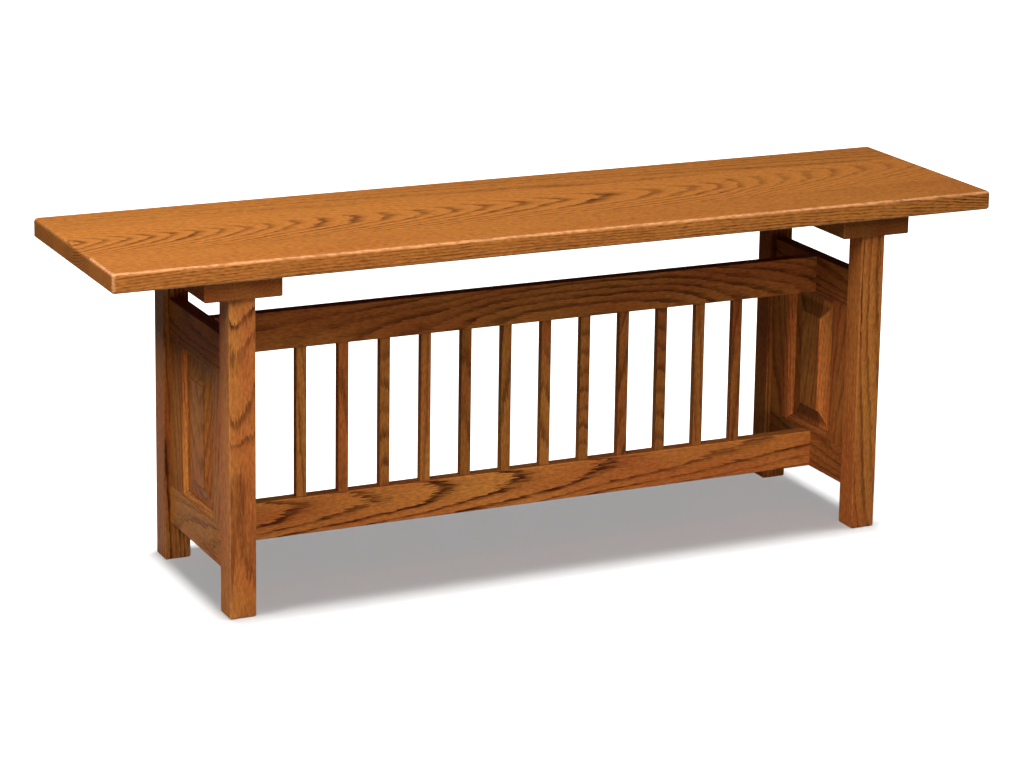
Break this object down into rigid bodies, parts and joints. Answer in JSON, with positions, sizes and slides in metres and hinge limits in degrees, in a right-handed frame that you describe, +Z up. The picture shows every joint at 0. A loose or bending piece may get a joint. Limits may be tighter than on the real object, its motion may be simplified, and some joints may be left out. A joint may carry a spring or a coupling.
{
  "type": "trestle bench",
  "caption": "Long wooden bench with a plank seat on two raised-panel ends, joined by a low slatted stretcher.",
  "frame": {"origin": "on the floor, under the middle of the seat", "axes": "+X along the seat, front towards -Y, +Z up"},
  "size_m": [1.226, 0.316, 0.457],
  "materials": {
    "seat_oak": "oak, honey brown stain under satin lacquer",
    "cleat_oak": "oak, honey brown stain under satin lacquer",
    "leg_oak": "oak, honey brown stain under satin lacquer",
    "end_frame_oak": "oak, honey brown stain under satin lacquer",
    "panel_oak": "oak, honey brown stain under satin lacquer",
    "stretcher_oak": "oak, honey brown stain under satin lacquer",
    "slat_oak": "oak, honey brown stain under satin lacquer",
    "screw_steel": "zinc plated, plain"
  },
  "bodies": {
    "root": {"seat_board_front": "seat_oak", "seat_board_middle": "seat_oak", "seat_board_back": "seat_oak", "cleat_left": "cleat_oak", "cleat_right": "cleat_oak", "leg_left_front": "leg_oak", "leg_left_back": "leg_oak", "leg_right_front": "leg_oak", "leg_right_back": "leg_oak", "end_bottom_rail_left": "end_frame_oak", "end_top_rail_left": "end_frame_oak", "end_bottom_rail_right": "end_frame_oak", "end_top_rail_right": "end_frame_oak", "end_stile_left_front": "end_frame_oak", "end_stile_left_back": "end_frame_oak", "end_stile_right_front": "end_frame_oak", "end_stile_right_back": "end_frame_oak", "raised_panel_left": "panel_oak", "raised_panel_right": "panel_oak", "stretcher_lower_rail": "stretcher_oak", "stretcher_upper_rail": "stretcher_oak", "slat_01": "slat_oak", "slat_02": "slat_oak", "slat_03": "slat_oak", "slat_04": "slat_oak", "slat_05": "slat_oak", "slat_06": "slat_oak", "slat_07": "slat_oak", "slat_08": "slat_oak", "slat_09": "slat_oak", "slat_10": "slat_oak", "slat_11": "slat_oak", "slat_12": "slat_oak", "seat_screws_left": "screw_steel", "seat_screws_right": "screw_steel"}
  },
  "joints": []
}
